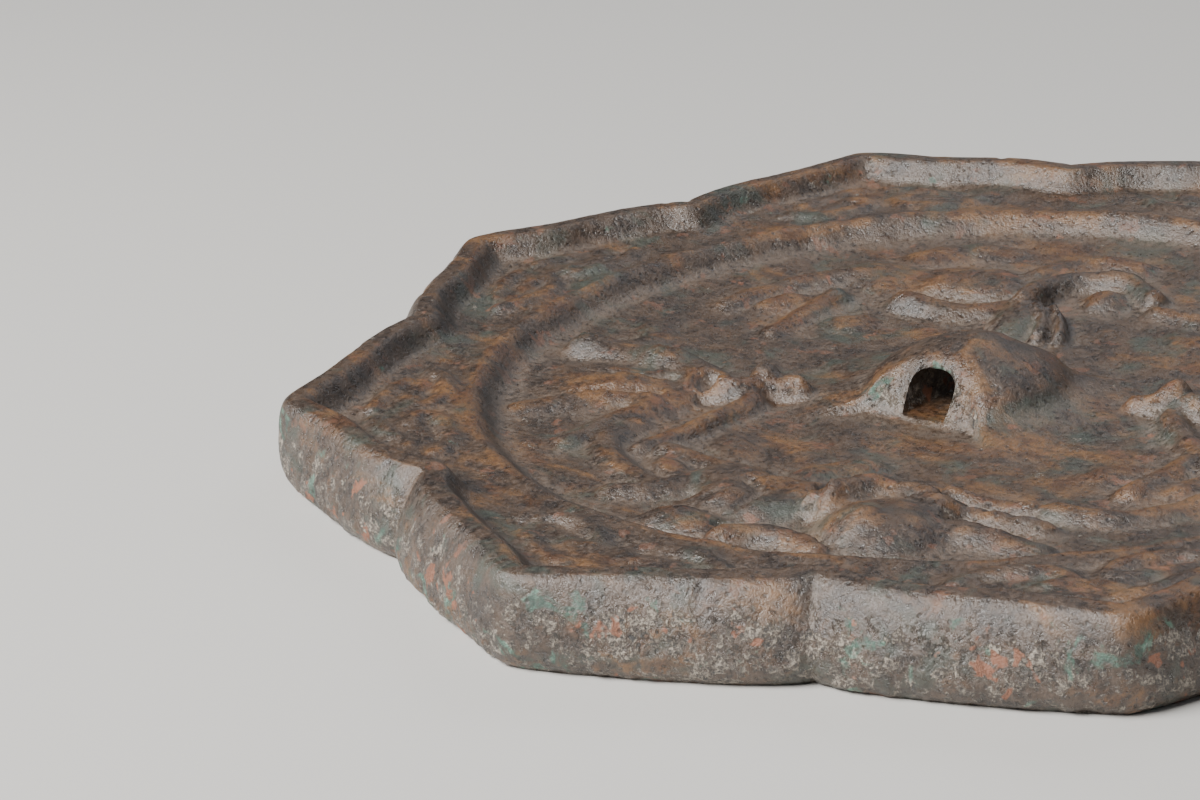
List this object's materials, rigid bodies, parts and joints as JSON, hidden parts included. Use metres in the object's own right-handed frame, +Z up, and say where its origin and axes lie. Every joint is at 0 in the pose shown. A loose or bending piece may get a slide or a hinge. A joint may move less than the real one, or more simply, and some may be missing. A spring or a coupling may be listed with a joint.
{
  "type": "ancient bronze mirror",
  "caption": "Cast bronze hand mirror lying face down: lobed plate with raised rim, step ring, pierced central knob for a cord, and worn bird and beast relief",
  "frame": {"origin": "centre of the flat underside, which is the polished reflecting face", "axes": "+Z up through the ornamented back and its knob; lobe tips on +X, -X, +Y and -Y; the cord hole runs along Y"},
  "size_m": [0.1306, 0.1306, 0.0084],
  "materials": {
    "bronze": "old tin bronze under a thin dark brown patina, worn orange-brown on high edges, with pale earthy crust, small malachite green and red-brown corrosion spots"
  },
  "bodies": {
    "root": {"mirror": "bronze"}
  },
  "joints": []
}
